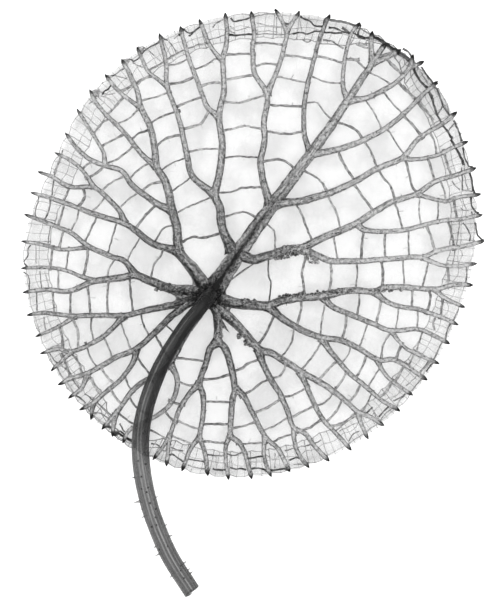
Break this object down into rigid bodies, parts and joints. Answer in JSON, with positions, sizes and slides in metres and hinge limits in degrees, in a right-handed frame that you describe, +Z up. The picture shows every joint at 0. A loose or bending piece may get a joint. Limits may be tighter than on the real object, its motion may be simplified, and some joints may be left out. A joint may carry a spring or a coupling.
{
  "type": "water lily pad",
  "caption": "Round giant water lily leaf laid face down: upturned rim below, branching ribs and marginal spurs above, and a cut leaf stalk bending over from the off-centre hub.",
  "frame": {"origin": "middle of the leaf and stalk together, on the surface that the leaf rests on", "axes": "+Z up, away from the surface; +Y from the cut end of the stalk towards the far margin; +X to the right with the stalk pointing towards the viewer"},
  "size_m": [0.5803, 0.7368, 0.0685],
  "materials": {
    "blade": "thin, pale grey and see-through",
    "rib": "mid grey, fibrous, darker along both edges",
    "stalk": "dark grey with long paler streaks"
  },
  "bodies": {
    "root": {"blade": "blade", "hub_rib_1": "rib", "hub_rib_1_branch_1": "rib", "hub_rib_1_branch_2": "rib", "hub_rib_1_branch_3": "rib", "hub_rib_1_branch_4": "rib", "hub_rib_2": "rib", "hub_rib_2_branch_1": "rib", "hub_rib_2_branch_2": "rib", "hub_rib_3": "rib", "hub_rib_3_branch_1": "rib", "hub_rib_3_branch_2": "rib", "hub_rib_3_branch_3": "rib", "hub_rib_4": "rib", "hub_rib_4_branch_1": "rib", "hub_rib_5": "rib", "hub_rib_5_branch_1": "rib", "hub_rib_5_branch_2": "rib", "hub_rib_5_branch_3": "rib", "hub_rib_6": "rib", "hub_rib_6_branch_1": "rib", "hub_rib_7": "rib", "hub_rib_7_branch_1": "rib", "hub_rib_7_branch_2": "rib", "hub_rib_7_branch_3": "rib", "hub_rib_7_branch_4": "rib", "left_rib_1": "rib", "left_rib_1_branch_1": "rib", "left_rib_1_branch_2": "rib", "left_rib_2": "rib", "left_rib_2_branch_1": "rib", "left_rib_3": "rib", "left_rib_4": "rib", "midrib": "rib", "petiole": "stalk", "right_rib_1": "rib", "right_rib_1_branch_1": "rib", "right_rib_1_branch_2": "rib", "right_rib_2": "rib", "right_rib_3": "rib", "right_rib_4": "rib"}
  },
  "joints": []
}
